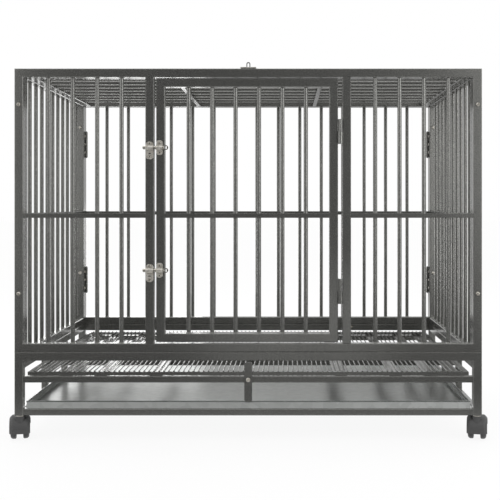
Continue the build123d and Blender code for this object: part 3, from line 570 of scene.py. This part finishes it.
def tray_bead():
    """Bead rolled round the tray's rim, one mitred ring."""
    low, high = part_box("drip_tray")
    inset = BEAD_R - BEAD_PROUD
    mesh = bmesh.new()
    rings = []
    for way_x, way_y in ((-1, -1), (1, -1), (1, 1), (-1, 1)):
        middle = Vector((low.x + inset if way_x < 0 else high.x - inset,
                         low.y + inset if way_y < 0 else high.y - inset, high.z - inset))
        ring = []
        for k in range(BEAD_STEPS):
            angle = 2 * math.pi * k / BEAD_STEPS
            out, up = BEAD_R * math.cos(angle), BEAD_R * math.sin(angle)
            ring.append(mesh.verts.new(middle + Vector((way_x * out, way_y * out, up))))
        rings.append(ring)
    for i, ring in enumerate(rings):
        ahead = rings[(i + 1) % len(rings)]
        for k in range(BEAD_STEPS):
            n = (k + 1) % BEAD_STEPS
            mesh.faces.new((ring[k], ahead[k], ahead[n], ring[n]))
    made = piece("drip_tray_bead", mesh, "tray_sheet", "drip_tray")
    # The bead takes the zinc whose colour is painted darker, as painted shade.
    made.data.materials[0] = SHADE_DARKENED_FINISH


def moulded_wheel(name, way):
    """A caster wheel with a rounded tread, a dished outer face and a raised hub, in place of the plain
    one. The way is the side of its axle that the outer face looks to."""
    low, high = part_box(name)
    radius = (high.z - low.z) / 2
    joint = JOINT[nodes[name]["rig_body"]]
    centre = Vector(joint["pos_m"])
    axle = way * Vector(joint["axis"])
    along = [(vertex.co - centre).dot(axle) for vertex in nodes[name].data.vertices]
    width = max(along) - min(along)
    corners = (
        (WHEEL_BORE_R, 0, 0),
        (radius, 0, WHEEL_INNER_ROUND),
        (radius, width, WHEEL_OUTER_ROUND),
        (DISH_R[0], width, DISH_ROUND[0]),
        (DISH_R[1], width - DISH_DEPTH, DISH_ROUND[1]),
        (HUB_R[0], width - DISH_DEPTH, HUB_ROUND),
        (HUB_R[1], width - HUB_BACK, HUB_ROUND),
        (WHEEL_BORE_R, width - HUB_BACK, 0),
    )
    mesh = bmesh.new()
    place = aimed(centre + min(along) * axle, axle)
    turned(mesh, rounded(corners, closed=True), place, WHEEL_STEPS, ring=True)
    piece(name + "_moulded", mesh, SLOT[name], nodes[name]["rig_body"], name)


for node_name in ("keeper_screws", "saddle_screws"):
    screws_on(node_name, pan_head)
screws_on("panel_bolts", button_head)
latch_screw()
leaf_screws()
hinge_finials()
hinge_welds()
for node_name in ("front_panel_bars", "back_panel_bars", "left_panel_bars", "right_panel_bars",
                  "door_bars", "lid_bars"):
    bar_welds(node_name)
round_wires()
tray_bead()
for caster_end in ("front", "rear"):
    for caster_side in ("left", "right"):
        moulded_wheel(f"caster_wheel_{caster_end}_{caster_side}_a", -1)
        moulded_wheel(f"caster_wheel_{caster_end}_{caster_side}_b", 1)

# Stage, light and camera. Places and sizes are in metres, levels are shares of plain white.
FLOOR_SIZE = 60.0
FLOOR_WHITE = 0.9          # share of plain white in the floor as it is seen
FRONT_LEVEL = 0.075        # dim patch at the room's front, round the camera
FRONT_WAY = (-0.11, -1.0, 0.06)  # from the crate to the middle of that patch
FRONT_ANGLES = (7.0, 30.0)  # degrees from that middle to full dimness and to full light
FRONT_FLOOR = (-0.8, -0.25)  # Y where the floor turns from dim to full light in reflections
FRONT_FLOOR_LEVEL = 0.095  # floor before the crate, as mirrored in the front's lower rails
BACK_LEVEL = 0.66          # room's far end, as mirrored in the tray and the grid
BACK_ANGLES = (15.0, 40.0)  # degrees from straight back to that level and to full light
BACK_FLOOR = (1.5, 4.0)    # Y where the floor turns from full light to dim in reflections
BACK_FLOOR_LEVEL = 0.35    # floor at the far end, as mirrored in the undersides of the upper rails
STRIP_SIZE = (0.3, 1.1)    # upright strip lamps before the crate's left and right edges
STRIP_PLACE = (1.0, FACE_Y - 0.85, 0.75)
STRIP_POWER = (1.2, 3.2)   # watts, left and right
TOP_SIZE = (3.0, 2.0)      # wide lamp above and behind the crate
TOP_PLACE = (0.0, 1.2, 3.0)
TOP_AIM = (0, 0, 0.4)
TOP_POWER = 40.0
LOW_SIZE = (1.0, 0.4)      # low lamp behind on the left, mirrored in the tray's left half
LOW_PLACE = (-0.75, 1.6, 0.33)
LOW_AIM = (0, 0, 0.1)
LOW_POWER = 4.2
CARD_SIZE = (0.6, 0.4)     # small low lamp in front, mirrored in the middle of the lower rails
CARD_PLACE = (0.13, FACE_Y - 1.1, 0.11)
CARD_AIM = (CARD_PLACE[0], FACE_Y, 0.25)
CARD_POWER = 0.32
LENS = 70.42               # millimetres, on a sensor as wide as SENSOR
SENSOR = 36.0
CAMERA_PLACE = (0.085, FACE_Y - 2.258, 0.547)
CAMERA_SHIFT = (-0.07, -0.092)


def pale_floor():
    """A pale floor. What is seen of it is mostly plain white, with the crate's shadow left in. Reflections
    show it dim at the room's front and at its far end."""
    bpy.ops.mesh.primitive_plane_add(size=FLOOR_SIZE)
    floor = bpy.context.object
    floor.name = "floor"
    material, tree, shader, place = new_material("pale_matt_floor")
    node(tree, shader, {"Base Color": linear("#f2f2f2"), "Roughness": 0.9})
    path = node(tree, "ShaderNodeLightPath").outputs
    depth = node(tree, "ShaderNodeSeparateXYZ", None, {"Vector": place}).outputs["Y"]
    ahead = node(tree, "ShaderNodeMapRange", {"From Min": FRONT_FLOOR[0], "From Max": FRONT_FLOOR[1],
                 "To Min": FRONT_FLOOR_LEVEL, "To Max": 1.0}, {"Value": depth}).outputs[0]
    behind = node(tree, "ShaderNodeMapRange", {"From Min": BACK_FLOOR[0], "From Max": BACK_FLOOR[1],
                  "To Min": 1.0, "To Max": BACK_FLOOR_LEVEL}, {"Value": depth}).outputs[0]
    mirrored = node(tree, "ShaderNodeMath", {"operation": "MULTIPLY"}, {0: ahead, 1: behind}).outputs[0]
    level = node(tree, "ShaderNodeMix", None, {"Factor": path["Is Glossy Ray"], "B": mirrored})
    level.inputs["A"].default_value = 1.0
    share = node(tree, "ShaderNodeMapRange", {"To Min": FLOOR_WHITE, "To Max": 1.0},
                 {"Value": path["Is Glossy Ray"]}).outputs[0]
    seen = node(tree, "ShaderNodeMath", {"operation": "ADD", "use_clamp": True},
                {0: path["Is Camera Ray"], 1: path["Is Glossy Ray"]}).outputs[0]
    seen = node(tree, "ShaderNodeMath", {"operation": "MULTIPLY"}, {0: seen, 1: share}).outputs[0]
    white = node(tree, "ShaderNodeEmission", {"Color": linear("#ffffff")}, {"Strength": level.outputs[0]})
    mixed = node(tree, "ShaderNodeMixShader", None, {0: seen, 1: shader.outputs[0], 2: white.outputs[0]})
    node(tree, tree.nodes["Material Output"], None, {"Surface": mixed.outputs[0]})
    floor.data.materials.append(material)


def white_room():
    """A white room round the crate, dim at its front and less bright at its far end. The camera always
    sees plain white."""
    world = bpy.data.worlds.new("white_room")
    bpy.context.scene.world = world
    world.use_nodes = True
    tree = world.node_tree
    way = node(tree, "ShaderNodeTexCoord").outputs["Generated"]
    near = node(tree, "ShaderNodeVectorMath", {"operation": "DOT_PRODUCT"}, {0: way})
    near.inputs[1].default_value = Vector(FRONT_WAY).normalized()
    dim, full = [math.cos(math.radians(angle)) for angle in FRONT_ANGLES]
    room = node(tree, "ShaderNodeMapRange", {"interpolation_type": "SMOOTHSTEP", "From Min": full,
                "From Max": dim, "To Min": 1.0, "To Max": FRONT_LEVEL}, {"Value": near.outputs["Value"]})
    dim, full = [-math.cos(math.radians(angle)) for angle in BACK_ANGLES]
    back = node(tree, "ShaderNodeMapRange", {"interpolation_type": "SMOOTHSTEP", "From Min": dim,
                "From Max": full, "To Min": BACK_LEVEL, "To Max": 1.0}, {"Value": near.outputs["Value"]})
    room = node(tree, "ShaderNodeMath", {"operation": "MULTIPLY"}, {0: room.outputs[0], 1: back.outputs[0]})
    path = node(tree, "ShaderNodeLightPath").outputs
    seen = node(tree, "ShaderNodeMath", {"operation": "MAXIMUM"},
                {0: path["Is Camera Ray"], 1: path["Is Transmission Ray"]})
    level = node(tree, "ShaderNodeMath", {"operation": "MAXIMUM"},
                 {0: seen.outputs[0], 1: room.outputs[0]})
    node(tree, tree.nodes["Background"], {"Color": linear("#ffffff")}, {"Strength": level.outputs[0]})


def softbox(name, place, aim, size, power):
    """A soft rectangular lamp that the camera doesn't see."""
    lamp = bpy.data.lights.new(name, "AREA")
    lamp.shape = "RECTANGLE"
    lamp.size, lamp.size_y = size
    lamp.energy = power
    made = bpy.data.objects.new(name, lamp)
    made.location = place
    made.rotation_euler = (Vector(aim) - Vector(place)).to_track_quat("-Z", "Y").to_euler()
    made.visible_camera = False
    bpy.context.scene.collection.objects.link(made)


def camera():
    """Level camera in front of the crate, a little right of its middle, framed by lens shift."""
    lens = bpy.data.cameras.new("camera")
    lens.sensor_width = SENSOR
    lens.lens = LENS
    lens.shift_x, lens.shift_y = CAMERA_SHIFT
    lens.clip_end = 2 * FLOOR_SIZE
    made = bpy.data.objects.new("camera", lens)
    made.location = CAMERA_PLACE
    made.rotation_euler = (math.radians(90), 0, 0)
    bpy.context.scene.collection.objects.link(made)
    bpy.context.scene.camera = made


pale_floor()
white_room()
for strip_name, way, power in zip(("strip_left", "strip_right"), (-1, 1), STRIP_POWER):
    spot = (way * STRIP_PLACE[0], STRIP_PLACE[1], STRIP_PLACE[2])
    softbox(strip_name, spot, (way * cad_high.x, FACE_Y, spot[2]), STRIP_SIZE, power)
softbox("top_back", TOP_PLACE, TOP_AIM, TOP_SIZE, TOP_POWER)
softbox("low_back", LOW_PLACE, LOW_AIM, LOW_SIZE, LOW_POWER)
softbox("low_front", CARD_PLACE, CARD_AIM, CARD_SIZE, CARD_POWER)
camera()
bpy.context.scene.view_settings.view_transform = "Standard"
